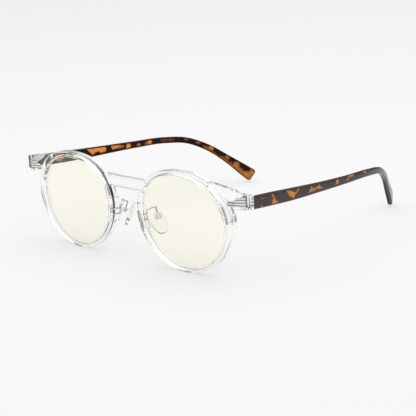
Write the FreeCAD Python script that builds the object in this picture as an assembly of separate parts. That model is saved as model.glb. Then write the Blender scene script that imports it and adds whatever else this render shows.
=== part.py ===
import FreeCAD, Part
import math
import os
from FreeCAD import Matrix, Placement, Rotation, Vector

os.makedirs("parts", exist_ok=True)

# Spectacles with a clear one-piece front, tinted lenses, metal hinges and patterned temples.
# Millimetres. X points to the wearer's left, Y backwards along the temples, Z up. The glasses stand
# on the lowest point of both rims and on the lower corners of both temple tips.
# Everything is drawn for the wearer's left side and mirrored for the right.

# ---------------------------------------------------------------- driving dimensions
LENS_SPACING = 70.0          # between the two lens centres
LENS_HEIGHT = 23.35          # lens centre above the ground
WRAP = 3.1                   # each rim is turned outwards-backwards by this angle, degrees
FRONT_TILT = 2.3             # the top of the front leans forward by this angle, degrees
BASE_RADIUS = 108.0          # spherical radius of the front's and the lenses' surfaces

OPENING_RADIUS = 22.53       # mean radius of the rim opening
OPENING_OVAL = 1.33          # makes it wider than high
OPENING_SLANT = -0.39        # leans the oval
OPENING_POINT = 0.60         # flattens the top and narrows the bottom
OPENING_INWARD = 0.2         # brings the temple side in and the nose side out
OUTLINE_POINTS = 48

RIM_WIDTH = 2.55             # mean width of the rim band, seen from the front
RIM_WIDER_TOP = 0.45
RIM_WIDER_SIDES = 0.55
RIM_WIDER_OUTSIDE = 0.2
RIM_WIDER_SHOULDER = 0.35
RIM_SHOULDER_BULGE = 0.9     # extra width where the end piece grows out of the rim
RIM_BULGE_ANGLE = 12.0
RIM_BULGE_SPREAD = 16.0
RIM_FRONT = -0.55            # front surface of the rim, behind the lens datum
RIM_BACK = 3.4
RIM_ROUNDING = 0.55

BOSS_BACK = 4.9              # raised pad mount on the nose side of the rim
BOSS_INSET = 0.8
BOSS_BOTTOM = -7.0           # its ends, from the lens centre
BOSS_TOP = 4.0

LENS_FRONT = 1.0
LENS_THICKNESS = 1.6
GROOVE_DEPTH = 0.5           # how far the lens edge reaches into the rim

BRIDGE_HALF_LENGTH = 13.0
BRIDGE_TOP = 39.2
BRIDGE_BOTTOM = 33.7
BRIDGE_FRONT = 2.2
BRIDGE_BACK = 5.3
BRIDGE_BOW = 0.4             # the middle stands this much further forward than the ends
BAND_OVERLAP = 1.1           # bridge and end pieces start this far into the rim band

END_PIECE_OUTER = 72.4       # outer face of end piece and temple
END_PIECE_REAR = 8.3
END_PIECE_TOP = 39.2
END_PIECE_BOTTOM = 33.3
END_PIECE_FRONT = 5.5        # its front face just before the rounded outer corner
END_PIECE_SLANT = 7.0        # the front face runs back towards the corner at this angle, degrees
END_PIECE_START = 50.0       # inboard end, hidden inside the rim band
INNER_STEP = 69.6            # inboard of this the end piece is thinner, to clear the hinge
INNER_BACK = 7.25

HINGE_X = 67.7               # hinge screw axis
HINGE_Y = 9.2
HINGE_Z = 36.2
KNUCKLE_RADIUS = 1.3
KNUCKLE_SPLIT = 0.75         # half the height of the temple's knuckle
KNUCKLE_GAP = 0.06
BARREL_HALF = 2.2
SCREW_RADIUS = 0.6
SCREW_CLEARANCE = 0.03
SCREW_HEAD_RADIUS = 1.15
SCREW_HEAD_HEIGHT = 0.6
LEAF_THICKNESS = 1.1
LEAF_PROUD = 0.18            # the temple's leaf stands this far out of the temple
FRONT_LEAF_Y = -3.1          # front face of the sunk leaf, from the hinge axis

TEMPLE_EDGE = 0.85           # rounding of the temple's long edges

PAD_CENTRE = Vector(9.6, 13.5, 17.6)
PAD_FLARE = 30.0             # the pads are further apart at the bottom, degrees
PAD_SPLAY = 35.0             # and further apart at the back, degrees
PAD_LENGTH = 13.4
PAD_WIDTH = 6.9
PAD_THICKNESS = 2.2
PAD_LIFT = 1.35              # the screw sits this far above the pad's middle
PAD_SIDE = 0.7               # and this far behind it
PAD_STANDOFF = 1.5           # from the pad's back to the screw axis
PAD_SCREW_RADIUS = 0.45
PAD_SCREW_CLEARANCE = 0.025
BOX_WIDTH = 2.6
BOX_SLOT = 1.2
BOX_HEIGHT = 2.2
BOX_NEAR = 0.6               # from the pad's back to the open side of the box
BOX_FLOOR = 2.45
BOX_FAR = 3.0
BOX_CEILING = 1.15           # inner and outer top of the box, above the screw axis
BOX_TOP = 1.65
WIRE_SEAT = 0.35             # the arm meets the box top this far behind the screw axis
LUG_WIDTH = 1.1
LUG_RADIUS = 0.75
ARM_RADIUS = 0.42
ARM_BEND = 0.6               # bend radius of the wire
ARM_CORNERS = (Vector(9.2, 7.2, 19.8), Vector(8.6, 7.6, 23.9), Vector(9.6, 9.5, 24.6),
               Vector(11.8, 11.0, 25.2), Vector(9.6, 12.6, 23.9))
FOOT_CENTRE = Vector(9.2, 6.75, 21.4)
FOOT_LEAN = Vector(-0.15, 0.1, 1)
PIN_RADIUS = 0.4
PIN_X = 9.3
PIN_FRONT = 3.0              # the pins end this deep in the rim
PIN_HEIGHTS = (20.1, 22.7)

AXIS_X = Vector(1, 0, 0)
AXIS_Y = Vector(0, 1, 0)
AXIS_Z = Vector(0, 0, 1)


# ---------------------------------------------------------------- small helpers
def prism(wire, direction):
    return Part.Face(wire).extrude(direction)


def polygon(points):
    return Part.makePolygon(list(points) + [points[0]])


def block(x_range, y_range, z_range):
    size = [high - low for low, high in (x_range, y_range, z_range)]
    return Part.makeBox(size[0], size[1], size[2], Vector(x_range[0], y_range[0], z_range[0]))


def rod(radius, start, end):
    return Part.makeCylinder(radius, (end - start).Length, start, end - start)


def placed(shape, placement):
    result = shape.copy()
    result.Placement = placement.multiply(result.Placement)
    return result


def mirrored(shape):
    return shape.mirror(Vector(0, 0, 0), AXIS_X)


def rounded(shape, radius, chosen):
    edges = [edge for edge in shape.Edges if chosen(edge)]
    return shape.makeFillet(radius, edges)


# ---------------------------------------------------------------- rims and lenses
def opening_radius(angle):
    oval = OPENING_OVAL * math.cos(2 * angle) + OPENING_SLANT * math.sin(2 * angle)
    return OPENING_RADIUS + oval + OPENING_POINT * math.sin(3 * angle) - OPENING_INWARD * math.cos(angle)


def opening_point(angle):
    radius = opening_radius(angle)
    return Vector(radius * math.cos(angle), 0, radius * math.sin(angle))


def rim_width(angle):
    width = RIM_WIDTH + RIM_WIDER_TOP * math.sin(angle) + RIM_WIDER_OUTSIDE * math.cos(angle)
    width += RIM_WIDER_SIDES * math.cos(2 * angle) + RIM_WIDER_SHOULDER * math.sin(2 * angle)
    from_bulge = (math.degrees(angle) - RIM_BULGE_ANGLE + 180.0) % 360.0 - 180.0
    return width + RIM_SHOULDER_BULGE * math.exp(-(from_bulge / RIM_BULGE_SPREAD) ** 2)


def outline(offset, depth):
    """Closed curve around the rim opening, moved outwards by offset(angle), in the rim's own frame."""
    small = 1e-4
    points = []
    for step in range(OUTLINE_POINTS):
        angle = 2 * math.pi * step / OUTLINE_POINTS
        along = opening_point(angle + small) - opening_point(angle - small)
        outward = Vector(along.z, 0, -along.x).normalize()
        points.append(opening_point(angle) + outward * offset(angle) + Vector(0, depth, 0))
    curve = Part.BSplineCurve()
    curve.interpolate(Points=points, PeriodicFlag=True)
    return Part.Wire([curve.toShape()])


def outline_prism(offset):
    return prism(outline(offset, -8.0), Vector(0, 24, 0))


def curved_slab(solid, front, back):
    """The part of a solid that lies between two equal spheres, front and back of the datum."""
    outer = Part.makeSphere(BASE_RADIUS, Vector(0, BASE_RADIUS + front, 0))
    inner = Part.makeSphere(BASE_RADIUS, Vector(0, BASE_RADIUS + back, 0))
    return solid.common(outer).cut(inner)


def rim_placement():
    turn = Rotation(AXIS_Z, WRAP).multiply(Rotation(AXIS_X, FRONT_TILT))
    return Placement(Vector(LENS_SPACING / 2, 0, LENS_HEIGHT), turn)


def make_rim():
    ring = outline_prism(rim_width).cut(outline_prism(lambda angle: 0.0))
    ring = curved_slab(ring, RIM_FRONT, RIM_BACK)
    ring = ring.makeFillet(RIM_ROUNDING, ring.Edges)
    return placed(ring.fuse(make_pad_boss()), rim_placement())


def make_pad_boss():
    """Raised part of the rim's back, where the pins of the pad arm are set."""
    band = outline_prism(lambda angle: rim_width(angle) - BOSS_INSET)
    band = band.cut(outline_prism(lambda angle: BOSS_INSET))
    part = band.common(block((-40.0, -10.0), (-20.0, 40.0), (BOSS_BOTTOM, BOSS_TOP)))
    return curved_slab(part, RIM_BACK - 1.0, BOSS_BACK)


def make_lens():
    blank = outline_prism(lambda angle: GROOVE_DEPTH)
    lens = curved_slab(blank, LENS_FRONT, LENS_FRONT + LENS_THICKNESS)
    return placed(lens, rim_placement())


def make_band_core():
    """Everything inside the middle of the rim band, which bridge and end piece stay out of."""
    return placed(outline_prism(lambda angle: BAND_OVERLAP), rim_placement())


def make_bridge():
    half = BRIDGE_HALF_LENGTH

    def arc(y, direction):
        ends = [Vector(-half * direction, y, 0), Vector(half * direction, y, 0)]
        return Part.Arc(ends[0], Vector(0, y - BRIDGE_BOW, 0), ends[1]).toShape()

    front = arc(BRIDGE_FRONT + BRIDGE_BOW, 1)
    back = arc(BRIDGE_BACK + BRIDGE_BOW, -1)
    sides = [Part.makeLine(front.Vertexes[-1].Point, back.Vertexes[0].Point)]
    sides.append(Part.makeLine(back.Vertexes[-1].Point, front.Vertexes[0].Point))
    wire = Part.Wire([front, sides[0], back, sides[1]])
    bar = prism(wire, Vector(0, 0, BRIDGE_TOP - BRIDGE_BOTTOM))
    bar.translate(Vector(0, 0, BRIDGE_BOTTOM))
    return rounded(bar, 0.9, lambda edge: edge.Length > half)


def make_end_piece():
    """Clear lug that runs out from the rim and wraps round to meet the temple."""
    outer = END_PIECE_OUTER
    bend = END_PIECE_REAR - END_PIECE_FRONT
    inside = bend * (1 - math.sqrt(0.5))
    corner = Part.Arc(Vector(outer - bend, END_PIECE_FRONT, 0),
                      Vector(outer - inside, END_PIECE_FRONT + inside, 0),
                      Vector(outer, END_PIECE_REAR, 0)).toShape()
    slant = math.tan(math.radians(END_PIECE_SLANT))
    start = END_PIECE_START
    points = [Vector(outer, END_PIECE_REAR, 0), Vector(INNER_STEP, END_PIECE_REAR, 0),
              Vector(INNER_STEP, INNER_BACK, 0), Vector(start, INNER_BACK - 0.8, 0),
              Vector(start, END_PIECE_FRONT - slant * (outer - bend - start), 0),
              Vector(outer - bend, END_PIECE_FRONT, 0)]
    plan = Part.Wire([corner] + [Part.makeLine(a, b) for a, b in zip(points, points[1:])])
    slab = prism(plan, Vector(0, 0, 20))
    slab.translate(Vector(0, 0, 25))
    top = Part.BSplineCurve()
    low = END_PIECE_BOTTOM
    end_high = Vector(outer + 1, 0, END_PIECE_TOP)
    start_high = Vector(start - 1, 0, 43.0)
    top.interpolate(Points=[start_high, Vector(56, 0, 42.4), Vector(62, 0, 41.3), Vector(66, 0, 40.1),
                            end_high])
    web = Part.BSplineCurve()
    web.interpolate(Points=[Vector(67.0, 0, low - 0.2), Vector(65.6, 0, low - 1.0), Vector(64.3, 0, 30.6),
                            Vector(62.6, 0, 27.6)])
    sides = [(end_high, Vector(outer + 1, 0, low)), (Vector(outer + 1, 0, low), Vector(67.0, 0, low - 0.2)),
             (Vector(62.6, 0, 27.6), Vector(60.0, 0, 25.5)), (Vector(60.0, 0, 25.5), Vector(start - 1, 0, 25.5)),
             (Vector(start - 1, 0, 25.5), start_high)]
    lines = [Part.makeLine(a, b) for a, b in sides]
    face_view = Part.Wire([top.toShape(), lines[0], lines[1], web.toShape(), lines[2], lines[3], lines[4]])
    return slab.common(prism(face_view, Vector(0, 12, 0)))


def make_front():
    rim = make_rim()
    core = make_band_core()
    end_piece = make_end_piece().cut(core)
    half = rim.fuse(end_piece)
    bridge = make_bridge().cut(core).cut(mirrored(core))
    return half.fuse([mirrored(half), bridge])


# ---------------------------------------------------------------- temple hinge
def hinge_placement():
    return Placement(Vector(HINGE_X, HINGE_Y, HINGE_Z), Rotation(AXIS_X, FRONT_TILT))


def knuckle(low, high):
    return rod(KNUCKLE_RADIUS, Vector(0, 0, low), Vector(0, 0, high))


def bore(radius):
    return rod(radius, Vector(0, 0, -BARREL_HALF - 1), Vector(0, 0, BARREL_HALF + 1))


def make_front_hinge():
    """Leaf sunk in the end piece: block, ribbed tail with a point, and the two outer knuckles."""
    face = FRONT_LEAF_Y
    back = face + LEAF_THICKNESS
    plate = [(1.5, -1.9), (1.5, 1.9), (-3.7, 1.8), (-3.7, 0.2), (-4.1, 0.2), (-4.1, 0.6), (-7.8, -0.3),
             (-8.7, -1.4), (-7.8, -2.2), (-4.1, -2.2), (-4.1, -1.2), (-3.7, -1.2), (-3.7, -1.8)]
    leaf = prism(polygon([Vector(x, face, z) for x, z in plate]), Vector(0, LEAF_THICKNESS, 0))
    for z_groove in (-1.65, -1.05, -0.45):
        leaf = leaf.cut(rod(0.18, Vector(-7.4, face, z_groove), Vector(-4.6, face, z_groove + 0.15)))
    leaf.rotate(Vector(0, 0, 0), AXIS_Z, END_PIECE_SLANT)
    inner = KNUCKLE_SPLIT + KNUCKLE_GAP
    for low, high in ((inner, BARREL_HALF), (-BARREL_HALF, -inner)):
        web = block((-1.1, 1.1), (back - 0.5, 0.0), (low, high))
        leaf = leaf.fuse([web, knuckle(low, high)])
    return leaf.cut(bore(SCREW_RADIUS + SCREW_CLEARANCE)).removeSplitter()


def make_temple_hinge():
    """Leaf sunk in the inner side of the temple, with the middle knuckle."""
    inner = END_PIECE_OUTER - temple_thickness(0.0) - LEAF_PROUD - HINGE_X
    profile = [Vector(inner, 0.9, -1.5), Vector(inner, 0.9, 1.5), Vector(inner, 6.0, 1.3),
               Vector(inner, 9.6, 0.9), Vector(inner, 10.6, 0.0), Vector(inner, 9.6, -0.9),
               Vector(inner, 6.0, -1.3)]
    leaf = prism(polygon(profile), Vector(LEAF_THICKNESS, 0, 0))
    half = KNUCKLE_SPLIT - KNUCKLE_GAP
    web = block((0, inner + 0.3), (0.3, 1.9), (-half, half))
    leaf = leaf.fuse([web, knuckle(-half, half)])
    return leaf.cut(bore(SCREW_RADIUS + SCREW_CLEARANCE)).removeSplitter()


def make_hinge_screw():
    shank = rod(SCREW_RADIUS, Vector(0, 0, -BARREL_HALF), Vector(0, 0, BARREL_HALF))
    head = rod(SCREW_HEAD_RADIUS, Vector(0, 0, BARREL_HALF), Vector(0, 0, BARREL_HALF + SCREW_HEAD_HEIGHT))
    head = rounded(head, 0.25, lambda edge: edge.BoundBox.ZMin > BARREL_HALF + 0.1 and len(edge.Vertexes) == 1
                   and edge.BoundBox.ZLength < 0.1)
    slot = block((-2, 2), (-0.17, 0.17), (BARREL_HALF + 0.25, BARREL_HALF + 1))
    return shank.fuse(head).cut(slot)


# ---------------------------------------------------------------- temple
def temple_thickness(along):
    """Thickness from the front end (0) to the tip (1)."""
    return 3.1 - 0.5 * min(1.0, 2 * along)


# Centre line of the temple, with its height there: y, x, z, height.
TEMPLE_STATIONS = (
    (8.55, 70.85, 36.0, 5.6),
    (20.0, 70.75, 35.05, 5.65),
    (34.0, 70.55, 33.85, 5.4),
    (54.0, 70.2, 32.5, 4.35),
    (76.0, 69.1, 31.15, 3.5),
    (96.0, 66.7, 29.75, 3.2),
    (109.0, 63.2, 27.4, 3.2),
    (119.0, 58.7, 22.4, 3.4),
    (130.0, 52.6, 13.5, 4.4),
    (136.5, 49.2, 7.6, 6.0),
    (141.7, 46.3, 2.8, 7.0),
)


def section(centre, tangent, thickness, height):
    """Rounded rectangle across the temple, its height square to the centre line."""
    side = Vector(tangent.y, -tangent.x, 0).normalize()
    up = side.cross(tangent).normalize()
    radius = min(TEMPLE_EDGE, 0.45 * thickness)
    half_t = thickness / 2
    half_h = height / 2
    edges = []
    inset = radius * (1 - math.sqrt(0.5))

    def at(across, above):
        return centre + side * across + up * above

    for sx, sz, first in ((1, 1, "side"), (-1, 1, "top"), (-1, -1, "side"), (1, -1, "top")):
        on_side = at(sx * half_t, sz * (half_h - radius))
        on_top = at(sx * (half_t - radius), sz * half_h)
        middle = at(sx * (half_t - inset), sz * (half_h - inset))
        start, end = (on_side, on_top) if first == "side" else (on_top, on_side)
        edges.append((start, middle, end))
    wire_edges = []
    for index, (start, middle, end) in enumerate(edges):
        wire_edges.append(Part.Arc(start, middle, end).toShape())
        wire_edges.append(Part.makeLine(end, edges[(index + 1) % 4][0]))
    return Part.Wire(wire_edges)


def make_temple():
    line = Part.BSplineCurve()
    line.interpolate(Points=[Vector(x, y, z) for y, x, z, height in TEMPLE_STATIONS])
    wires = []
    last = len(TEMPLE_STATIONS) - 1
    for index, (y, x, z, height) in enumerate(TEMPLE_STATIONS):
        centre = Vector(x, y, z)
        parameter = line.parameter(centre)
        tangent = Vector(*line.tangent(parameter)[0]).normalize()
        if index == 0:
            tangent = AXIS_Y
        wires.append(section(centre, tangent, temple_thickness(index / last), height))
    return Part.makeLoft(wires, True, False)


# ---------------------------------------------------------------- nose pads
def pad_axes():
    """Pad frame: x along the screw, y away from the nose, z up along the pad."""
    flare = math.radians(PAD_FLARE)
    splay = math.radians(PAD_SPLAY)
    up = Vector(-math.sin(flare), 0, math.cos(flare))
    inward = Vector(-math.cos(flare), 0, -math.sin(flare)) * math.cos(splay) + AXIS_Y * math.sin(splay)
    away = inward * -1
    return away.cross(up), away, up


def pad_placement(origin):
    across, away, up = pad_axes()
    turn = Matrix(across.x, away.x, up.x, origin.x,
                  across.y, away.y, up.y, origin.y,
                  across.z, away.z, up.z, origin.z,
                  0, 0, 0, 1)
    return Placement(turn)


def screw_point():
    across, away, up = pad_axes()
    return PAD_CENTRE + up * PAD_LIFT - across * PAD_SIDE + away * (PAD_THICKNESS / 2 + PAD_STANDOFF)


def ellipse_plate(length, width, low, high):
    """Oval plate standing on its long axis, from y=low to y=high in the pad frame."""
    oval = Part.Ellipse(Vector(0, low, length / 2), Vector(width / 2, low, 0), Vector(0, low, 0))
    return prism(Part.Wire([oval.toShape()]), Vector(0, high - low, 0))


def make_pad_insert():
    """Hard oval plate inside the soft pad, with the lug that the screw passes through."""
    back = -PAD_STANDOFF
    plate = ellipse_plate(8.0, 3.8, back - 1.3, back - 0.6)
    plate.translate(Vector(PAD_SIDE * 0.7, 0, -PAD_LIFT))
    lug = block((-LUG_WIDTH / 2, LUG_WIDTH / 2), (back - 0.9, 0), (-LUG_RADIUS, LUG_RADIUS))
    eye = rod(LUG_RADIUS, Vector(-LUG_WIDTH / 2, 0, 0), Vector(LUG_WIDTH / 2, 0, 0))
    hole = rod(PAD_SCREW_RADIUS + PAD_SCREW_CLEARANCE, Vector(-2, 0, 0), Vector(2, 0, 0))
    return plate.fuse([lug, eye]).cut(hole).removeSplitter()


def make_nose_pad():
    back = -PAD_STANDOFF
    pad = ellipse_plate(PAD_LENGTH, PAD_WIDTH, back - PAD_THICKNESS, back)
    pad = pad.makeFillet(0.95, [edge for edge in pad.Edges if edge.BoundBox.YLength < 0.1])
    pad.translate(Vector(PAD_SIDE, 0, -PAD_LIFT))
    return pad.cut(make_pad_insert())


def make_pad_box():
    near = BOX_NEAR - PAD_STANDOFF
    floor = BOX_FLOOR - PAD_STANDOFF
    far = BOX_FAR - PAD_STANDOFF
    half = BOX_WIDTH / 2
    box = block((-half, half), (near, far), (-BOX_HEIGHT / 2, BOX_TOP))
    box = box.makeFillet(0.3, [edge for edge in box.Edges if edge.BoundBox.YMin > far - 0.1])
    slot = block((-BOX_SLOT / 2, BOX_SLOT / 2), (near - 1, floor), (-3, BOX_CEILING))
    hole = rod(PAD_SCREW_RADIUS + PAD_SCREW_CLEARANCE, Vector(-3, 0, 0), Vector(3, 0, 0))
    return box.cut(slot).cut(hole)


def make_pad_screw():
    half = BOX_WIDTH / 2
    shank = rod(PAD_SCREW_RADIUS, Vector(-half, 0, 0), Vector(half, 0, 0))
    head = rod(0.72, Vector(half, 0, 0), Vector(half + 0.35, 0, 0))
    slot = block((half + 0.15, half + 1), (-0.12, 0.12), (-1, 1))
    return shank.fuse(head).cut(slot)


def bent_wire(points, bend, radius):
    """Round wire along straight runs that are joined by tangent arcs."""
    edges = []
    start = points[0]
    for before, corner, after in zip(points, points[1:], points[2:]):
        into = (corner - before).normalize()
        out = (after - corner).normalize()
        turn = into.getAngle(out)
        reach = bend * math.tan(turn / 2)
        first = corner - into * reach
        last = corner + out * reach
        towards = (out - into).normalize()
        middle = corner + towards * (bend / math.cos(turn / 2) - bend)
        edges.append(Part.makeLine(start, first))
        edges.append(Part.Arc(first, middle, last).toShape())
        start = last
    edges.append(Part.makeLine(start, points[-1]))
    path = Part.Wire(edges)
    direction = (points[1] - points[0]).normalize()
    ring = Part.Wire([Part.makeCircle(radius, points[0], direction)])
    return path.makePipeShell([ring], True, True)


def make_pad_arm():
    """Foot plate behind the rim, two pins set in the rim and the bent wire up to the box."""
    across, away, up = pad_axes()
    seat = screw_point() + away * WIRE_SEAT + up * BOX_TOP
    wire = bent_wire(list(ARM_CORNERS) + [seat + up * 0.9, seat], ARM_BEND, ARM_RADIUS)
    plate = block((-0.6, 0.6), (-0.4, 0.4), (-1.9, 1.9))
    plate = rounded(plate, 0.3, lambda edge: edge.BoundBox.YLength > 0.5)
    plate = placed(plate, Placement(FOOT_CENTRE, Rotation(AXIS_Z, FOOT_LEAN)))
    back = FOOT_CENTRE.y + 0.05
    pins = [rod(PIN_RADIUS, Vector(PIN_X, PIN_FRONT, z), Vector(PIN_X, back, z)) for z in PIN_HEIGHTS]
    return wire.fuse([plate] + pins).removeSplitter()


# ---------------------------------------------------------------- assembly
def make_left_side():
    hinge = hinge_placement()
    pad = pad_placement(screw_point())
    front_hinge = placed(make_front_hinge(), hinge)
    temple_hinge = placed(make_temple_hinge(), hinge)
    temple = make_temple().cut(temple_hinge)
    return {
        "lens": make_lens(),
        "front_hinge": front_hinge,
        "temple_hinge": temple_hinge,
        "hinge_screw": placed(make_hinge_screw(), hinge),
        "temple": temple,
        "pad_arm": make_pad_arm(),
        "pad_box": placed(make_pad_box(), pad),
        "nose_pad": placed(make_nose_pad(), pad),
        "pad_insert": placed(make_pad_insert(), pad),
        "pad_screw": placed(make_pad_screw(), pad),
    }


def build():
    nodes = {}
    for name, shape in make_left_side().items():
        nodes[name + "_left"] = shape
        nodes[name + "_right"] = mirrored(shape)
    front = make_front()
    for name in ("lens", "front_hinge", "pad_arm"):
        for side in ("_left", "_right"):
            front = front.cut(nodes[name + side])
    nodes["front_frame"] = front
    return nodes


def centred(nodes):
    """Moves the origin to the middle of the bottom of the whole object's box."""
    low = min(shape.BoundBox.YMin for shape in nodes.values())
    high = max(shape.BoundBox.YMax for shape in nodes.values())
    ground = min(shape.BoundBox.ZMin for shape in nodes.values())
    shift = Vector(0, -(low + high) / 2, -ground)
    for shape in nodes.values():
        shape.translate(shift)
    print("shift", shift, "hinge", hinge_placement().Base + shift, "pad screw", screw_point() + shift)
    print("pad screw axis", pad_axes()[0])
    return nodes


for node_name, node_shape in centred(build()).items():
    solids = node_shape.Solids
    print(node_name, len(solids), round(node_shape.Volume, 2), node_shape.isValid())
    node_shape.exportStep("parts/" + node_name + ".step")
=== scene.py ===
import bmesh
import bpy
import math
from mathutils import Matrix, Vector, noise


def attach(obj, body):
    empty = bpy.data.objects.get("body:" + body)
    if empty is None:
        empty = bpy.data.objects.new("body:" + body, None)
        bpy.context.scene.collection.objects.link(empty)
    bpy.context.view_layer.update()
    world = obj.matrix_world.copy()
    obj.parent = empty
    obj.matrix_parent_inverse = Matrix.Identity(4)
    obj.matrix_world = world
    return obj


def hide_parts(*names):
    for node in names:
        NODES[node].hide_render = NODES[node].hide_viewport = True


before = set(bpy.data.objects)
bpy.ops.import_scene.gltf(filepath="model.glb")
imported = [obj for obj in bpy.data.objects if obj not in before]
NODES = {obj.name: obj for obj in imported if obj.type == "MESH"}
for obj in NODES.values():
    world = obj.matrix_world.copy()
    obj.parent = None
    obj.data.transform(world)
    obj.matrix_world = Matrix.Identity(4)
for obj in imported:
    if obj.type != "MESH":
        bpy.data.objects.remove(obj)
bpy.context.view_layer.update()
MM = 0.001
SIDES = (("left", 1), ("right", -1))

# ---------------------------------------------------------------- dimensions, in millimetres and degrees
# They follow the CAD part, and are measured from the front's own datum.
SHIFT_Y = -71.6039           # from that datum to the row frame
SHIFT_Z = -0.0546
LENS_X = 35.0                # lens centre
LENS_Z = 23.35
WRAP = 3.1                   # each rim is turned outwards-backwards by this angle
FRONT_TILT = 2.3             # the top of the front leans forward by this angle
BASE_RADIUS = 108.0          # spherical radius of the front's and the lenses' surfaces

OPENING_RADIUS = 22.53       # mean radius of the rim opening
OPENING_OVAL = 1.33          # makes it wider than high
OPENING_SLANT = -0.39        # leans the oval
OPENING_POINT = 0.60         # flattens the top and narrows the bottom
OPENING_INWARD = 0.2         # brings the temple side in and the nose side out

RIM_WIDTH = 2.55             # mean width of the rim band, seen from the front
RIM_WIDER_TOP = 0.45
RIM_WIDER_SIDES = 0.55
RIM_WIDER_OUTSIDE = 0.2
RIM_WIDER_SHOULDER = 0.35
RIM_SHOULDER_BULGE = 0.9     # extra width where the end piece grows out of the rim
RIM_BULGE_ANGLE = 12.0
RIM_BULGE_SPREAD = 16.0
RIM_FRONT = -0.55            # front surface of the rim, behind the lens datum
RIM_BACK = 3.4
RIM_ROUNDING = 0.55
BAND_OVERLAP = 1.1           # bridge and end pieces start this far into the rim band

BOSS_BACK = 4.9              # raised pad mount on the nose side of the rim
BOSS_BOTTOM = -7.4           # where it has sunk back into the rim, from the lens centre
BOSS_TOP = 4.4
BOSS_RAMP = 1.0              # length of the slope at each end

LENS_FRONT = 1.0
LENS_THICKNESS = 1.6
GROOVE_DEPTH = 0.5           # how far the lens edge reaches into the rim
GROOVE_ROOM = 0.05           # clearance in front of the lens edge and behind it
GROOVE_END_ROOM = 0.06       # and around it

BRIDGE_HALF_LENGTH = 13.0
BRIDGE_TOP = 39.2
BRIDGE_BOTTOM = 33.7
BRIDGE_FRONT = 2.2
BRIDGE_BACK = 5.3
BRIDGE_BOW = 0.4             # the middle stands this much further forward than the ends
BRIDGE_ROUNDING = 0.5

END_START = 50.0             # inboard end of the end piece, hidden inside the rim band
END_STRAIGHT = 69.4          # last upright section before the bend
END_BEND = 69.6              # here the front face starts to bend round to the temple
END_RADIUS = 2.8
END_FRONT = 5.5              # front face at the bend
END_REAR = 8.3               # rear face, which meets the temple
END_SLANT = 7.0              # the front face runs back towards the bend at this angle
END_INNER_START = 6.45       # inner face at the inboard end
END_INNER_BEND = 7.25        # and at the bend
END_TOP_TERMS = (43.0, -0.9, -4.7, 1.8)   # upper edge: a cubic over END_TOP_LENGTH
END_TOP_LENGTH = 23.4
END_BOTTOM = 33.25
WEB_START = 67.0             # inboard of this a web runs down from the end piece to the rim
WEB_BOTTOM = 25.5
WEB_DROP = 0.27
WEB_POWER = 1.75
END_ROUNDING = 0.3

TEMPLE_THICKNESS = 3.1       # at the front end
TEMPLE_THINNING = 0.5        # lost over the first half
TEMPLE_EDGE = 0.85           # rounding of the long edges
PADDLE_START = 118.0         # the flared end of the temple, where the amber is deeper
PADDLE_TONE = 0.72
TIP_LENGTH = 2.2             # the tip is rounded over this length
TIP_ROUNDING = 1.15

PAD_CENTRE = (9.6, 13.5, 17.6)
PAD_FLARE = 30.0             # the pads are further apart at the bottom
PAD_SPLAY = 35.0             # and further apart at the back
PAD_HALF_LENGTH = 6.7
PAD_HALF_WIDTH = 3.45
PAD_HALF_THICKNESS = 1.1

WAVE_PERIOD = 0.314          # a wave texture of scale 1 repeats after this many metres
RIB_PITCH = 0.0012           # metres
RIB_LEAN = 6.0

FLOOR_TONE = 0.28
FLOOR_GLOW = 0.575
STUDIO_GLOW = 1.5

CAMERA_TURN = 43.61          # round from straight ahead towards the wearer's left
CAMERA_LIFT = 15.47          # above the horizon
CAMERA_ROLL = -3.0
CAMERA_PLACE = (440.7, -406.5, 188.6)
CAMERA_LENS = 118.64         # focal length, for a sensor 36 wide

SMALL = 1e-4                 # step for slopes

noise.seed_set(1)            # without this the temples' pattern would change a little from run to run


# ---------------------------------------------------------------- node helpers
def new_material(name):
    material = bpy.data.materials.new(name)
    material.use_nodes = True
    tree = material.node_tree
    shader = next(n for n in tree.nodes if n.type == "BSDF_PRINCIPLED")
    return material, tree, shader


def add(tree, kind, **values):
    node = tree.nodes.new(kind)
    for key, value in values.items():
        if key.startswith("in_"):
            node.inputs[key[3:].replace("_", " ")].default_value = value
        else:
            setattr(node, key, value)
    return node


def ramp(tree, source, stops):
    node = tree.nodes.new("ShaderNodeValToRGB")
    elements = node.color_ramp.elements
    while len(elements) < len(stops):
        elements.new(0.5)
    for element, (position, colour) in zip(elements, stops):
        element.position = position
        element.color = (*colour, 1.0)
    tree.links.new(source, node.inputs["Fac"])
    return node


def bump(tree, shader, height, distance, strength=1.0):
    node = add(tree, "ShaderNodeBump", in_Distance=distance, in_Strength=strength)
    tree.links.new(height, node.inputs["Height"])
    tree.links.new(node.outputs["Normal"], shader.inputs["Normal"])
    return node


def object_noise(tree, scale, detail, roughness=0.5):
    place = tree.nodes.new("ShaderNodeTexCoord")
    texture = add(tree, "ShaderNodeTexNoise", in_Scale=scale, in_Detail=detail, in_Roughness=roughness)
    tree.links.new(place.outputs["Object"], texture.inputs["Vector"])
    return texture


def mixed(tree, factor, low, high):
    node = tree.nodes.new("ShaderNodeMix")
    node.data_type = "RGBA"
    tree.links.new(factor, node.inputs["Factor"])
    for index, value in ((6, low), (7, high)):
        if isinstance(value, tuple):
            node.inputs[index].default_value = (*value, 1.0)
        else:
            tree.links.new(value, node.inputs[index])
    return node.outputs[2]


def clear_plastic(name, tint, ior, rough):
    """Glass-like plastic whose polish varies a little from place to place."""
    material, tree, shader = new_material(name)
    shader.inputs["Base Color"].default_value = (*tint, 1)
    shader.inputs["Transmission Weight"].default_value = 1.0
    shader.inputs["IOR"].default_value = ior
    polish = object_noise(tree, 260.0, 2.0)
    spread = ramp(tree, polish.outputs["Fac"], [(0.35, (rough * 0.5,) * 3), (0.75, (rough * 1.6,) * 3)])
    tree.links.new(spread.outputs["Color"], shader.inputs["Roughness"])
    return material


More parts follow.
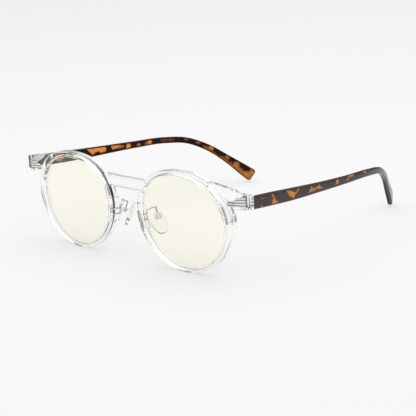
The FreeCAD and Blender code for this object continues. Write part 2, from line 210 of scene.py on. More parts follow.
def metal(name, colour, rough):
    material, tree, shader = new_material(name)
    shader.inputs["Metallic"].default_value = 1.0
    grain = object_noise(tree, 2500.0, 4.0)
    tone = ramp(tree, grain.outputs["Fac"], [(0.2, tuple(c * 0.8 for c in colour)), (0.8, colour)])
    tree.links.new(tone.outputs["Color"], shader.inputs["Base Color"])
    spread = ramp(tree, grain.outputs["Fac"], [(0.3, (rough * 0.7,) * 3), (0.8, (rough * 1.4,) * 3)])
    tree.links.new(spread.outputs["Color"], shader.inputs["Roughness"])
    return material


def ribbed_metal_painted_light_and_shade(name, light, dark):
    """Metal with fine ridges along it, as on an anchor that is moulded into plastic. The ridges' light and
    shade are painted into its colour, light on the ridges and dark in the grooves, with a small bump as well.
    """
    material, tree, shader = new_material(name)
    shader.inputs["Metallic"].default_value = 1.0
    shader.inputs["Roughness"].default_value = 0.2
    place = tree.nodes.new("ShaderNodeTexCoord")
    turn = add(tree, "ShaderNodeMapping")
    turn.inputs["Rotation"].default_value = (0.0, math.radians(RIB_LEAN), 0.0)
    tree.links.new(place.outputs["Object"], turn.inputs["Vector"])
    rib_bands_and_painted_shade = add(tree, "ShaderNodeTexWave", bands_direction="Z", in_Scale=WAVE_PERIOD / RIB_PITCH,
               in_Distortion=1.2, in_Detail=2.0, in_Detail_Scale=2.0)
    tree.links.new(turn.outputs["Vector"], rib_bands_and_painted_shade.inputs["Vector"])
    # painted highlight and shade: the colour runs from dark in the grooves to light on the ridges
    tone = ramp(tree, rib_bands_and_painted_shade.outputs["Fac"], [(0.15, dark), (0.55, light)])
    tree.links.new(tone.outputs["Color"], shader.inputs["Base Color"])
    bump(tree, shader, rib_bands_and_painted_shade.outputs["Fac"], 0.00008, 0.6)
    return material


def attribute(tree, name):
    return add(tree, "ShaderNodeAttribute", attribute_name=name).outputs["Fac"]


RED_TONES = ((0.07, 0.02, 0.009), (0.16, 0.045, 0.017))      # where the amber is deepest


def tortoise(name, rough, specular, light_tones, dark_tones):
    """Amber plastic with dark patches. The mesh carries the distance into a patch and how light it is."""
    material, tree, shader = new_material(name)
    fray = object_noise(tree, 900.0, 4.0, 0.6)
    push = add(tree, "ShaderNodeMath", operation="MULTIPLY_ADD")
    tree.links.new(fray.outputs["Fac"], push.inputs[0])
    push.inputs[1].default_value = 0.9
    tree.links.new(attribute(tree, "amber"), push.inputs[2])
    mask = ramp(tree, push.outputs["Value"], [(0.28, (0, 0, 0)), (0.62, (1, 1, 1))])
    cloud = object_noise(tree, 330.0, 4.0)
    light = ramp(tree, cloud.outputs["Fac"], [(0.3, light_tones[0]), (0.65, light_tones[1])])
    red = ramp(tree, cloud.outputs["Fac"], [(0.3, RED_TONES[0]), (0.7, RED_TONES[1])])
    dark = ramp(tree, cloud.outputs["Fac"], [(0.3, dark_tones[0]), (0.75, dark_tones[1])])
    warm = mixed(tree, attribute(tree, "glow"), red.outputs["Color"], light.outputs["Color"])
    colour = mixed(tree, mask.outputs["Color"], dark.outputs["Color"], warm)
    tree.links.new(colour, shader.inputs["Base Color"])
    wear = object_noise(tree, 1500.0, 5.0)
    spread = ramp(tree, wear.outputs["Fac"], [(0.3, (rough * 0.7,) * 3), (0.8, (rough * 1.4,) * 3)])
    tree.links.new(spread.outputs["Color"], shader.inputs["Roughness"])
    bump(tree, shader, wear.outputs["Fac"], 0.000012)
    shader.inputs["IOR"].default_value = 1.5
    shader.inputs["Specular IOR Level"].default_value = specular
    shader.inputs["Specular Tint"].default_value = (1.0, 0.86, 0.80, 1.0)
    return material


CLEAR = clear_plastic("clear_front", (0.985, 0.985, 0.98), 1.49, 0.015)
LENS = clear_plastic("lens_tint", (1.0, 0.985, 0.885), 1.5, 0.008)
STEEL = metal("satin_metal", (0.70, 0.68, 0.66), 0.25)
RIBBED_PAINTED_LIGHT_AND_SHADE = ribbed_metal_painted_light_and_shade("ribbed_metal_painted_light_and_shade", (0.90, 0.89, 0.87), (0.30, 0.29, 0.28))
BRIGHT = metal("polished_metal", (0.82, 0.80, 0.77), 0.10)
SOFT = clear_plastic("soft_pad", (0.985, 0.985, 0.975), 1.41, 0.03)
CORE = clear_plastic("pad_core", (0.97, 0.97, 0.96), 1.43, 0.06)
# Two copies of the tortoise. The outer one has darker amber, which is painted shade, and lighter greyer dark
# patches, which are a painted sheen. The inner one has brighter amber, painted light as if lit through the
# plastic from behind, and blacker dark patches, which are painted shade. They also differ in polish.
OUTER_PAINTED_SHADE_AND_SHEEN = tortoise("tortoise_outer_painted_shade_and_sheen", 0.14, 0.47, ((0.50, 0.165, 0.015), (0.72, 0.27, 0.035)),
                 ((0.022, 0.012, 0.010), (0.044, 0.027, 0.023)))
INNER_PAINTED_LIGHT_AND_SHADE = tortoise("tortoise_inner_painted_light_and_shade", 0.16, 0.08, ((0.72, 0.235, 0.045), (1.0, 0.35, 0.07)),
                 ((0.010, 0.004, 0.003), (0.026, 0.010, 0.007)))


# ---------------------------------------------------------------- mesh helpers
def to_row(point):
    """Millimetres in the front's own datum to metres in the row frame."""
    return Vector((point[0], point[1] + SHIFT_Y, point[2] + SHIFT_Z)) * MM


def mesh_object(name, points, faces, material, side=1, smooth=True, sharp=35.0):
    """side -1 mirrors the piece to the right and turns its faces to match."""
    flipped = [tuple(reversed(face)) for face in faces] if side < 0 else faces
    mesh = bpy.data.meshes.new(name)
    mesh.from_pydata([to_row((p[0] * side, p[1], p[2])) for p in points], [], flipped)
    edit = bmesh.new()
    edit.from_mesh(mesh)
    bmesh.ops.remove_doubles(edit, verts=edit.verts, dist=1e-7)
    bmesh.ops.recalc_face_normals(edit, faces=edit.faces)
    edit.to_mesh(mesh)
    edit.free()
    piece = bpy.data.objects.new(name, mesh)
    bpy.context.scene.collection.objects.link(piece)
    mesh.materials.append(material)
    if smooth:
        shade(piece, sharp)
    return piece


def shade(piece, sharp=35.0):
    mesh = piece.data
    mesh.shade_smooth()
    edit = bmesh.new()
    edit.from_mesh(mesh)
    limit = math.radians(sharp)
    for edge in edit.edges:
        edge.smooth = len(edge.link_faces) == 2 and edge.calc_face_angle(0.0) < limit
    edit.to_mesh(mesh)
    edit.free()


def apply_modifiers(piece):
    graph = bpy.context.evaluated_depsgraph_get()
    baked = bpy.data.meshes.new_from_object(piece.evaluated_get(graph))
    piece.modifiers.clear()
    piece.data = baked


def grid_faces(rows, columns, wrap_rows=True, wrap_columns=True):
    faces = []
    for i in range(rows if wrap_rows else rows - 1):
        for j in range(columns if wrap_columns else columns - 1):
            a, b = i * columns + j, i * columns + (j + 1) % columns
            c, d = ((i + 1) % rows) * columns + (j + 1) % columns, ((i + 1) % rows) * columns + j
            faces.append((a, b, c, d))
    return faces


# ---------------------------------------------------------------- rims, lenses and the clear front
def opening_point(angle):
    oval = OPENING_OVAL * math.cos(2 * angle) + OPENING_SLANT * math.sin(2 * angle)
    radius = OPENING_RADIUS + oval + OPENING_POINT * math.sin(3 * angle) - OPENING_INWARD * math.cos(angle)
    return Vector((radius * math.cos(angle), radius * math.sin(angle)))


def outward(angle):
    """Direction square to the rim of the opening."""
    along = opening_point(angle + SMALL) - opening_point(angle - SMALL)
    return Vector((along.y, -along.x)).normalized()


def rim_width(angle):
    width = RIM_WIDTH + RIM_WIDER_TOP * math.sin(angle) + RIM_WIDER_OUTSIDE * math.cos(angle)
    width += RIM_WIDER_SIDES * math.cos(2 * angle) + RIM_WIDER_SHOULDER * math.sin(2 * angle)
    from_bulge = (math.degrees(angle) - RIM_BULGE_ANGLE + 180.0) % 360.0 - 180.0
    return width + RIM_SHOULDER_BULGE * math.exp(-(from_bulge / RIM_BULGE_SPREAD) ** 2)


RIM_TURN = Matrix.Rotation(math.radians(WRAP), 3, "Z") @ Matrix.Rotation(math.radians(FRONT_TILT), 3, "X")


def on_rim(flat, depth):
    """A place seen from the front, at a depth behind the lens datum surface, in the front's datum."""
    sag = BASE_RADIUS - math.sqrt(BASE_RADIUS ** 2 - flat.length_squared)
    return RIM_TURN @ Vector((flat.x, sag + depth, flat.y)) + Vector((LENS_X, 0, LENS_Z))


def rim_section(width, back):
    """Outline of the rim band: distance outwards from the opening and depth, with the lens groove."""
    front, round_off = RIM_FRONT, RIM_ROUNDING
    corners = ((round_off, front + round_off, 180), (width - round_off, front + round_off, 270),
               (width - round_off, back - round_off, 0), (round_off, back - round_off, 90))
    section = []
    for across, depth, start in corners:
        for step in range(6):
            angle = math.radians(start + 18 * step)
            section.append((across + round_off * math.cos(angle), depth + round_off * math.sin(angle)))
    groove = GROOVE_DEPTH + GROOVE_END_ROOM
    low, high = LENS_FRONT - GROOVE_ROOM, LENS_FRONT + LENS_THICKNESS + GROOVE_ROOM
    return section + [(0.0, high), (groove, high), (groove, low), (0.0, low)]


def rim_back(flat):
    """Depth of the rim's back, which rises to the pad mount on the nose side."""
    if flat.x > 0:
        return RIM_BACK
    rise = min(1.0, max(0.0, (flat.y - BOSS_BOTTOM) / BOSS_RAMP))
    rise *= min(1.0, max(0.0, (BOSS_TOP - flat.y) / BOSS_RAMP))
    return RIM_BACK + (BOSS_BACK - RIM_BACK) * rise * rise * (3 - 2 * rise)


def make_rim(name, side):
    steps = 360
    points = []
    for step in range(steps):
        angle = 2 * math.pi * step / steps
        base, out = opening_point(angle), outward(angle)
        section = rim_section(rim_width(angle), rim_back(base))
        points += [on_rim(base + out * across, depth) for across, depth in section]
    return mesh_object(name, points, grid_faces(steps, len(section)), CLEAR, side)


def make_lens(name, side):
    steps, rings = 180, 14
    points, faces = [], []
    for depth in (LENS_FRONT, LENS_FRONT + LENS_THICKNESS):
        points.append(on_rim(Vector((0, 0)), depth))
        for ring in range(1, rings + 1):
            for step in range(steps):
                angle = 2 * math.pi * step / steps
                edge = opening_point(angle) + outward(angle) * GROOVE_DEPTH
                points.append(on_rim(edge * (ring / rings), depth))
    half = 1 + rings * steps
    for start in (0, half):
        for step in range(steps):
            after = (step + 1) % steps
            faces.append((start, start + 1 + step, start + 1 + after))
            for ring in range(rings - 1):
                low, high = start + 1 + ring * steps, start + 1 + (ring + 1) * steps
                faces.append((low + step, high + step, high + after, low + after))
    last = 1 + (rings - 1) * steps
    for step in range(steps):
        after = (step + 1) % steps
        faces.append((last + step, last + after, half + last + after, half + last + step))
    return mesh_object(name, points, faces, LENS, side)


def round_edges(piece, radius, sharper_than):
    rounding = piece.modifiers.new("rounding", "BEVEL")
    rounding.width = radius * MM
    rounding.segments = 4
    rounding.limit_method = "ANGLE"
    rounding.angle_limit = math.radians(sharper_than)
    apply_modifiers(piece)
    return piece


def end_top(x):
    """Height of the end piece's upper edge."""
    t = (x - END_START) / END_TOP_LENGTH
    flat, linear, square, cube = END_TOP_TERMS
    return flat + linear * t + square * t * t + cube * t ** 3


def end_bottom(x):
    """Height of its lower edge, with the web that runs down to the rim."""
    if x >= WEB_START:
        return END_BOTTOM
    return max(WEB_BOTTOM, END_BOTTOM - WEB_DROP * (WEB_START - x) ** WEB_POWER)


def make_end_piece(name, side):
    """Clear lug from the rim to the temple, drawn as a row of upright sections along its plan."""
    straight, bend = 19, 8
    slope = math.tan(math.radians(END_SLANT))
    front, back = [], []
    for step in range(straight + 1):
        x = END_START + step * (END_STRAIGHT - END_START) / straight
        share = (x - END_START) / (END_BEND - END_START)
        front.append((x, END_FRONT - slope * (END_BEND - x)))
        back.append((x, END_INNER_START + (END_INNER_BEND - END_INNER_START) * share))
    for step in range(1, bend + 1):
        angle = math.radians(90 * step / bend)
        front.append((END_BEND + END_RADIUS * math.sin(angle), END_REAR - END_RADIUS * math.cos(angle)))
        back.append((END_BEND, END_INNER_BEND + (END_REAR - END_INNER_BEND) * step / bend))
    back[-1] = (END_BEND + 0.02, END_REAR)
    points = []
    for (fx, fy), (bx, by) in zip(front, back):
        points += [(fx, fy, end_bottom(fx)), (fx, fy, end_top(fx))]
        points += [(bx, by, end_top(bx)), (bx, by, end_bottom(bx))]
    rows = len(front)
    faces = grid_faces(rows, 4, wrap_rows=False)
    faces += [(3, 2, 1, 0), (4 * rows - 4, 4 * rows - 3, 4 * rows - 2, 4 * rows - 1)]
    piece = mesh_object(name, points, faces, CLEAR, side, smooth=False)
    return round_edges(piece, END_ROUNDING, 50)


def make_bridge(name):
    """Bar between the rims, bowed forward in plan."""
    steps, half = 16, BRIDGE_HALF_LENGTH
    plan = []
    for depth, direction in ((BRIDGE_FRONT, 1), (BRIDGE_BACK, -1)):
        for step in range(steps + 1):
            x = direction * (-half + 2 * half * step / steps)
            plan.append((x, depth - BRIDGE_BOW * (1 - (x / half) ** 2)))
    count = len(plan)
    points = [(x, y, z) for z in (BRIDGE_BOTTOM, BRIDGE_TOP) for x, y in plan]
    faces = [tuple(reversed(range(count))), tuple(range(count, 2 * count))]
    faces += [(i, (i + 1) % count, count + (i + 1) % count, count + i) for i in range(count)]
    return round_edges(mesh_object(name, points, faces, CLEAR, smooth=False), BRIDGE_ROUNDING, 40)


def inside_cutter(name, side):
    """Fills the opening and half the band, to trim what would stick out inside the rim."""
    steps = 144
    points = []
    for depth in (-6.0, 12.0):
        for step in range(steps):
            angle = 2 * math.pi * step / steps
            flat = opening_point(angle) + outward(angle) * BAND_OVERLAP
            points.append(RIM_TURN @ Vector((flat.x, depth, flat.y)) + Vector((LENS_X, 0, LENS_Z)))
    faces = [(i, (i + 1) % steps, steps + (i + 1) % steps, steps + i) for i in range(steps)]
    faces += [tuple(reversed(range(steps))), tuple(range(steps, 2 * steps))]
    return mesh_object(name, points, faces, CLEAR, side, smooth=False)


def combine(target, tools, operation):
    for tool in tools:
        cut = target.modifiers.new(operation.lower(), "BOOLEAN")
        cut.operation = operation
        cut.solver = "EXACT"
        cut.object = tool
    apply_modifiers(target)


def make_front():
    cutters = [inside_cutter("cut_" + word, side) for word, side in SIDES]
    bridge = make_bridge("bridge")
    lugs = [make_end_piece("lug_" + word, side) for word, side in SIDES]
    combine(bridge, cutters, "DIFFERENCE")
    for lug, cutter in zip(lugs, cutters):
        combine(lug, [cutter], "DIFFERENCE")
    front = make_rim("front_shell", 1)
    rim = make_rim("rim_right", -1)
    combine(front, [lugs[0], bridge, rim, lugs[1]], "UNION")
    for piece in [*cutters, bridge, rim, *lugs]:
        bpy.data.objects.remove(piece)
    shade(front, 32.0)
    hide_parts("front_frame")
    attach(front, "front")


# ---------------------------------------------------------------- temples
# Centre line of the temple, with its height there: y, x, z, height, as in the CAD part.
STATIONS = (
    (8.55, 70.85, 36.0, 5.6),
    (20.0, 70.75, 35.05, 5.65),
    (34.0, 70.55, 33.85, 5.4),
    (54.0, 70.2, 32.5, 4.35),
    (76.0, 69.1, 31.15, 3.5),
    (96.0, 66.7, 29.75, 3.2),
    (109.0, 63.2, 27.4, 3.2),
    (119.0, 58.7, 22.4, 3.4),
    (130.0, 52.6, 13.5, 4.4),
    (136.5, 49.2, 7.6, 6.0),
    (141.7, 46.3, 2.8, 7.0),
)


def station_at(t):
    """Smooth blend through the stations, spaced by distance: place and height, and the way along."""
    rows = [Vector((x, y, z, h)) for y, x, z, h in STATIONS]
    lengths = [0.0]
    for a, b in zip(rows, rows[1:]):
        lengths.append(lengths[-1] + (b.to_3d() - a.to_3d()).length)
    want = t * lengths[-1]
    i = max(k for k in range(len(rows) - 1) if lengths[k] <= want + 1e-9)
    u = (want - lengths[i]) / (lengths[i + 1] - lengths[i])

    def slope(k):
        if k == 0:
            return (rows[1] - rows[0]) / (lengths[1] - lengths[0])
        if k == len(rows) - 1:
            return (rows[k] - rows[k - 1]) / (lengths[k] - lengths[k - 1])
        before = (rows[k] - rows[k - 1]) / (lengths[k] - lengths[k - 1])
        after = (rows[k + 1] - rows[k]) / (lengths[k + 1] - lengths[k])
        share = (lengths[k + 1] - lengths[k]) / (lengths[k + 1] - lengths[k - 1])
        return before * share + after * (1 - share)

    span = lengths[i + 1] - lengths[i]
    u2, u3 = u * u, u * u * u
    value = rows[i] * (2 * u3 - 3 * u2 + 1) + slope(i) * span * (u3 - 2 * u2 + u)
    value += rows[i + 1] * (3 * u2 - 2 * u3) + slope(i + 1) * span * (u3 - u2)
    return value, want


# Amber patches on the outer and the inner face: how light the amber is, then the corners of the patch
# as millimetres along the temple and share of the half height. The rest is dark.
OUTER_PATCHES = (
    (0.25, ((3.1, 0.9), (6.7, 0.8), (6.5, 0.35), (5.2, 0.3), (3.8, 0.55))),
    (0.9, ((5.0, -0.4), (6.5, -0.9), (3.6, -0.85), (4.2, -0.65))),
    (1.0, ((10.7, 0.95), (12.3, 0.95), (13.4, 0.25), (14.6, -0.3), (16.5, -0.55), (15.7, -0.75),
           (11.3, -0.75), (11.7, -0.25), (12.1, 0.2), (11.1, 0.7))),
    (1.0, ((20.5, 0.95), (22.6, 0.95), (26.3, 0.5), (27.2, 0.3), (28.4, 0.6), (30.1, 1.0), (30.9, 0.85),
           (29.0, 0.3), (27.6, -0.2), (26.5, -0.7), (24.9, -0.4), (23.2, -0.15), (22.8, 0.25), (21.5, 0.7))),
    (0.5, ((30.7, -0.25), (32.8, -0.3), (32.8, -0.45), (30.9, -0.45))),
    (0.9, ((34.5, -0.3), (36.8, -0.15), (38.4, 0.25), (38.0, 0.65), (38.9, 0.8), (39.7, 0.4), (41.8, 0.25),
           (43.5, 0.45), (43.7, 0.75), (44.7, 0.8), (45.1, 0.35), (48.1, -0.1), (47.2, -0.25), (44.5, -0.2),
           (42.2, -0.05), (41.2, -0.35), (38.4, -0.4), (36.1, -0.4))),
    (1.0, ((57.7, 1.0), (58.9, 1.0), (59.8, 0.3), (58.9, -0.3), (55.2, -0.35), (56.8, 0.0), (57.2, 0.55))),
    (0.9, ((66.9, 1.1), (69.6, 1.3), (72.7, 1.3), (72.1, 0.55), (68.1, 0.5), (67.1, -0.2), (65.0, -0.3),
           (66.2, 0.3), (66.9, 0.75))),
    (0.8, ((80.2, 1.2), (82.9, 1.3), (83.8, 0.85), (82.3, 0.2), (80.6, 0.55))),
    (0.7, ((95.1, 0.25), (94.0, -0.15), (92.6, -0.2), (93.4, 0.05))),
    (0.5, ((115.5, -1.0), (117.6, -0.85), (124.3, -0.95), (122.8, -1.1))),
)
INNER_PATCHES = (
    (0.6, ((14.0, 0.6), (18.0, 0.8), (20.0, 0.1), (16.5, -0.7), (13.0, -0.3))),
    (0.9, ((24.0, 0.3), (27.0, 0.7), (28.5, -0.4), (25.0, -0.8))),
    (1.0, ((33.2, 0.95), (46.8, 0.85), (46.8, -0.35), (42.4, -0.5), (41.2, 0.1), (37.6, -0.65),
           (35.3, 0.1))),
    (1.0, ((50.1, 0.95), (56.6, 0.75), (56.2, 0.3), (53.7, -0.1), (51.0, -0.25), (50.1, 0.4))),
    (0.4, ((56.2, 0.8), (59.3, 0.5), (58.9, -0.1), (56.2, -0.25), (53.7, -0.1))),
    (1.0, ((61.0, 0.75), (63.3, 0.85), (63.9, -0.1), (63.1, -0.6), (59.8, -0.5), (60.4, 0.15))),
    (0.45, ((67.3, 0.1), (68.9, 0.5), (70.6, 0.0), (70.2, -0.6), (67.7, -0.45))),
    (0.3, ((72.9, 0.3), (74.8, 0.6), (75.0, -0.5), (73.1, -0.5))),
    (1.0, ((74.8, 0.45), (76.3, 0.95), (78.1, 0.6), (78.6, -0.15), (76.7, -0.75), (75.0, -0.35))),
    (0.15, ((83.4, 0.6), (93.0, 0.65), (93.2, -0.25), (84.0, -0.3))),
    (0.35, ((98.2, 0.75), (101.3, 0.8), (101.5, 0.1), (98.8, 0.0))),
    (0.65, ((106.1, 0.7), (108.9, 1.0), (109.3, 0.1), (106.6, -0.2))),
    (1.0, ((113.9, 0.4), (115.1, 1.1), (117.6, 0.8), (117.4, -0.3), (114.9, -0.3))),
    (0.35, ((110.2, 0.3), (113.9, 0.35), (117.0, -0.3), (124.0, -0.5), (124.0, -1.0), (112.0, -0.8))),
    (1.0, ((124.7, 0.1), (125.6, 0.9), (128.3, 0.7), (128.1, -0.05), (126.2, -0.2))),
    (0.5, ((122.6, -0.3), (124.7, 0.1), (128.0, -0.2), (133.5, -0.2), (133.5, -1.0), (122.9, -1.0))),
    (0.7, ((131.2, 0.4), (134.0, 1.0), (136.2, 0.05), (139.1, -0.1), (142.1, 0.3), (142.0, 0.9), (146.1, 1.0),
           (146.1, -1.0), (132.0, -1.0))),
    (0.8, ((134.0, 1.2), (135.2, 0.85), (138.5, 1.0), (142.3, 0.85), (146.0, 1.2))),
)


def inside_distance(corners, x, y):
    """Distance in millimetres to the outline of a patch, positive inside it."""
    best, inside = 1e9, False
    for (ax, ay), (bx, by) in zip(corners, corners[1:] + corners[:1]):
        dx, dy = bx - ax, by - ay
        share = max(0.0, min(1.0, ((x - ax) * dx + (y - ay) * dy) / (dx * dx + dy * dy)))
        best = min(best, math.hypot(x - ax - share * dx, y - ay - share * dy))
        if (ay > y) != (by > y) and x < ax + (y - ay) * dx / dy:
            inside = not inside
    return best if inside else -best


def amber_at(patches, along, height, half_height):
    """Signed distance to the nearest patch and how light that patch is."""
    wobble = noise.noise_vector((along * 0.55, height * 1.6, 3.0))
    x, y = along + wobble.x * 0.5, (height + wobble.y * 0.12) * half_height
    best, light = -4.0, 0.0
    for glow, corners in patches:
        if min(c[0] for c in corners) - 4.5 < x < max(c[0] for c in corners) + 4.5:
            distance = inside_distance(tuple((a, b * half_height) for a, b in corners), x, y)
            if distance > best:
                best, light = distance, glow
    return best, light


def temple_ring(half_t, half_h, edge):
    """Rounded rectangle across the temple: corner arcs joined by rows of points on the flat faces."""
    corner, flat = 6, 7
    ring = []
    corners = ((1, 1, 0, (edge - half_t, half_h)), (-1, 1, 90, (-half_t, edge - half_h)),
               (-1, -1, 180, (half_t - edge, -half_h)), (1, -1, 270, (half_t, half_h - edge)))
    for sx, sz, start, aim in corners:
        for step in range(corner):
            turn = math.radians(start + 90 * step / (corner - 1))
            ring.append((sx * (half_t - edge) + edge * math.cos(turn),
                         sz * (half_h - edge) + edge * math.sin(turn)))
        begin = ring[-1]
        for step in range(1, flat):
            share = step / flat
            ring.append((begin[0] + (aim[0] - begin[0]) * share, begin[1] + (aim[1] - begin[1]) * share))
    return ring


def temple_section(t, total):
    """Half thickness, half height and edge rounding, with the tip drawn in towards its end."""
    half_t = (TEMPLE_THICKNESS - TEMPLE_THINNING * min(1.0, 2 * t)) / 2
    half_h = station_at(t)[0].w / 2
    left_over = (1 - t) * total
    if left_over >= TIP_LENGTH:
        return half_t, half_h, TEMPLE_EDGE
    inset = 1 - math.sqrt(max(0.0, 1 - (1 - left_over / TIP_LENGTH) ** 2))
    half_t -= TIP_ROUNDING * inset
    half_h -= 1.1 * TIP_ROUNDING * inset
    return half_t, half_h, min(TEMPLE_EDGE, half_t * 0.9)


def make_temple(name, side):
    """Rings of points along the centre line; each point carries how far it is inside an amber patch."""
    rows = 560
    total = station_at(1.0)[1]
    points, amber, glow, outer = [], [], [], []
    for row in range(rows):
        t = 1 - (1 - row / (rows - 1)) ** 1.25
        value, along = station_at(t)
        ahead, behind = station_at(min(1.0, t + 1e-3))[0], station_at(max(0.0, t - 1e-3))[0]
        centre = value.to_3d()
        tangent = (ahead.to_3d() - behind.to_3d()).normalized() if row else Vector((0, 1, 0))
        beside = Vector((tangent.y, -tangent.x, 0)).normalized()
        above = beside.cross(tangent).normalized()
        half_t, half_h, edge = temple_section(t, total)
        ring = temple_ring(half_t, half_h, edge)
        tone = PADDLE_TONE if along > PADDLE_START else 1.0
        for across, up in ring:
            points.append(centre + beside * across + above * up)
            level = abs(up)
            if level > half_h - edge:
                level += max(0.0, half_t - abs(across))
            patches = OUTER_PATCHES if across > 0 else INNER_PATCHES
            inside, light = amber_at(patches, along, math.copysign(level / half_h, up), half_h)
            fade = 0.5 if across > 0 or along < 85 else 1.3
            amber.append(inside)
            glow.append(tone * light * min(1.0, max(0.0, inside / fade)))
            outer.append(max(0.0, min(1.0, 0.5 + across)))
    columns = len(ring)
    faces = grid_faces(rows, columns, wrap_rows=False)
    faces += [tuple(reversed(range(columns))), tuple(range((rows - 1) * columns, rows * columns))]
    piece = mesh_object(name, points, faces, OUTER_PAINTED_SHADE_AND_SHEEN, side)
    piece.data.materials.append(INNER_PAINTED_LIGHT_AND_SHADE)
    # The outer face gets the copy with painted shade and sheen. The inner face and the top get the copy with
    # painted light in its amber and painted shade in its dark patches.
    for face in piece.data.polygons:
        on_outside = max(outer[i] for i in face.vertices) >= 0.5
        face.material_index = 0 if on_outside and face.normal.z < 0.75 else 1
    for label, values in (("amber", amber), ("glow", glow)):
        store = piece.data.attributes.new(label, "FLOAT", "POINT")
        store.data.foreach_set("value", values)
    return piece


# ---------------------------------------------------------------- nose pads
def pad_axes():
    """Across the pad, away from the nose, and up along the pad."""
    flare, splay = math.radians(PAD_FLARE), math.radians(PAD_SPLAY)
    up = Vector((-math.sin(flare), 0, math.cos(flare)))
    inward = Vector((-math.cos(flare) * math.cos(splay), math.sin(splay),
                     -math.sin(flare) * math.cos(splay)))
    away = -inward
    return away.cross(up), away, up


def make_pad(name, side):
    """Soft oval pad, a little wider at the lower end, with a gentle dome on both faces."""
    across, away, up = pad_axes()
    rings, steps = 18, 72
    points = []
    for ring in range(rings + 1):
        polar = math.pi * ring / rings
        level = math.cos(polar)
        reach = math.sin(polar) ** 0.45
        for step in range(steps):
            angle = 2 * math.pi * step / steps
            x = PAD_HALF_WIDTH * reach * math.cos(angle) * (1 - 0.10 * math.sin(angle))
            y = math.copysign(PAD_HALF_THICKNESS * abs(level) ** 0.8, level)
            z = PAD_HALF_LENGTH * reach * math.sin(angle)
            points.append(Vector(PAD_CENTRE) + across * x + away * y + up * z)
    faces = grid_faces(rings + 1, steps, wrap_rows=False)
    return mesh_object(name, points, faces, SOFT, side, sharp=60)


# ---------------------------------------------------------------- put the pieces together
make_front()
for word, sign in SIDES:
    lens = make_lens("lens_shape_" + word, sign)
    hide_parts("lens_" + word)
    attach(lens, "front")
    temple = make_temple("temple_shape_" + word, sign)
    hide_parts("temple_" + word)
    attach(temple, "temple_" + word)
    pad = make_pad("pad_shape_" + word, sign)
    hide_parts("nose_pad_" + word)
    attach(pad, "pad_" + word)

# The metal parts and the pad inserts keep their CAD shape.
KINDS = {"front_hinge": RIBBED_PAINTED_LIGHT_AND_SHADE, "temple_hinge": STEEL, "hinge_screw": STEEL, "pad_arm": STEEL,
         "pad_box": BRIGHT, "pad_insert": CORE, "pad_screw": STEEL}
for node_name, node in NODES.items():
    kind = node_name.rsplit("_", 1)[0]
    if kind in KINDS:
        node.data.materials.clear()
        node.data.materials.append(KINDS[kind])


# ---------------------------------------------------------------- stage, light and camera
def make_floor():
    """Pale floor that glows faintly, a little more around the glasses as a painted pool of light, so that its
    tone stays even and the shadows on it are filled in.
    """
    mesh = bpy.data.meshes.new("floor")
    half = 6.0
    corners = [(-half, -half, 0), (half, -half, 0), (half, half, 0), (-half, half, 0)]
    mesh.from_pydata(corners, [], [(0, 1, 2, 3)])
    floor = bpy.data.objects.new("floor", mesh)
    bpy.context.scene.collection.objects.link(floor)
    material, tree, shader = new_material("floor_white")
    shader.inputs["Base Color"].default_value = (FLOOR_TONE, FLOOR_TONE, FLOOR_TONE, 1)
    shader.inputs["Roughness"].default_value = 1.0
    shader.inputs["Specular IOR Level"].default_value = 0.0
    place = tree.nodes.new("ShaderNodeTexCoord")
    scaled = add(tree, "ShaderNodeVectorMath", operation="MULTIPLY")
    tree.links.new(place.outputs["Object"], scaled.inputs[0])
    scaled.inputs[1].default_value = (0.8, 0.8, 0.8)
    # painted pool of light: the glow grows brighter towards the middle of the floor, under the glasses
    painted_light_pool = add(tree, "ShaderNodeTexGradient", gradient_type="SPHERICAL")
    tree.links.new(scaled.outputs["Vector"], painted_light_pool.inputs["Vector"])
    glow = ramp(tree, painted_light_pool.outputs["Fac"], [(0.0, (0.87,) * 3), (0.45, (0.92,) * 3), (0.9, (1.0,) * 3)])
    tree.links.new(glow.outputs["Color"], shader.inputs["Emission Color"])
    shader.inputs["Emission Strength"].default_value = FLOOR_GLOW
    mesh.materials.append(material)


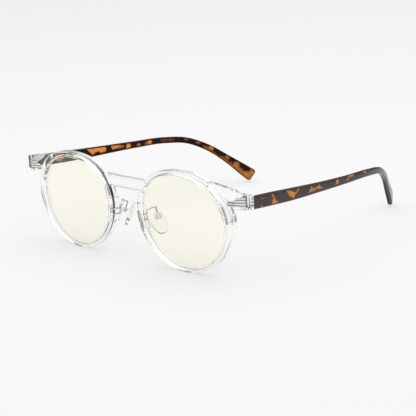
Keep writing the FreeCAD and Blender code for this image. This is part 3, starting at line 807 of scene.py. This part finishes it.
def area_light(name, position, target, size, power):
    data = bpy.data.lights.new(name, "AREA")
    data.shape = "RECTANGLE"
    data.size, data.size_y = size
    data.energy = power
    light = bpy.data.objects.new(name, data)
    bpy.context.scene.collection.objects.link(light)
    light.location = position
    light.rotation_euler = (Vector(target) - Vector(position)).to_track_quat("-Z", "Y").to_euler()


def make_world():
    """Soft studio: bright overhead, dimmer walls near the horizon."""
    world = bpy.data.worlds.new("studio")
    bpy.context.scene.world = world
    world.use_nodes = True
    tree = world.node_tree
    place = tree.nodes.new("ShaderNodeTexCoord")
    split = tree.nodes.new("ShaderNodeSeparateXYZ")
    tree.links.new(place.outputs["Generated"], split.inputs["Vector"])
    stops = [(0.0, (0.15,) * 3), (0.35, (0.27,) * 3), (0.7, (1.0,) * 3)]
    by_height = ramp(tree, split.outputs["Z"], stops)
    background = tree.nodes["Background"]
    tree.links.new(by_height.outputs["Color"], background.inputs["Color"])
    background.inputs["Strength"].default_value = STUDIO_GLOW


def make_camera():
    """A long lens from the wearer's left, a little above."""
    turn, lift, roll = (math.radians(angle) for angle in (CAMERA_TURN, CAMERA_LIFT, CAMERA_ROLL))
    back = Vector((math.sin(turn) * math.cos(lift), -math.cos(turn) * math.cos(lift), math.sin(lift)))
    right = Vector((math.cos(turn), math.sin(turn), 0))
    up = back.cross(right)
    across = right * math.cos(roll) + up * math.sin(roll)
    upward = up * math.cos(roll) - right * math.sin(roll)
    camera = bpy.data.objects.new("camera", bpy.data.cameras.new("camera"))
    camera.data.lens = CAMERA_LENS
    camera.data.sensor_width = 36.0
    camera.data.clip_start = 0.01
    place = Matrix((across, upward, back)).transposed().to_4x4()
    place.translation = to_row(CAMERA_PLACE)
    camera.matrix_world = place
    bpy.context.scene.collection.objects.link(camera)
    bpy.context.scene.camera = camera


make_floor()
make_world()
area_light("top", (-0.1, 0.15, 1.2), (0, 0.1, 0), (1.2, 1.2), 3.0)
make_camera()
bpy.context.scene.view_settings.view_transform = "Standard"
bpy.context.scene.cycles.max_bounces = 24
bpy.context.scene.cycles.transmission_bounces = 24
bpy.context.scene.cycles.glossy_bounces = 12
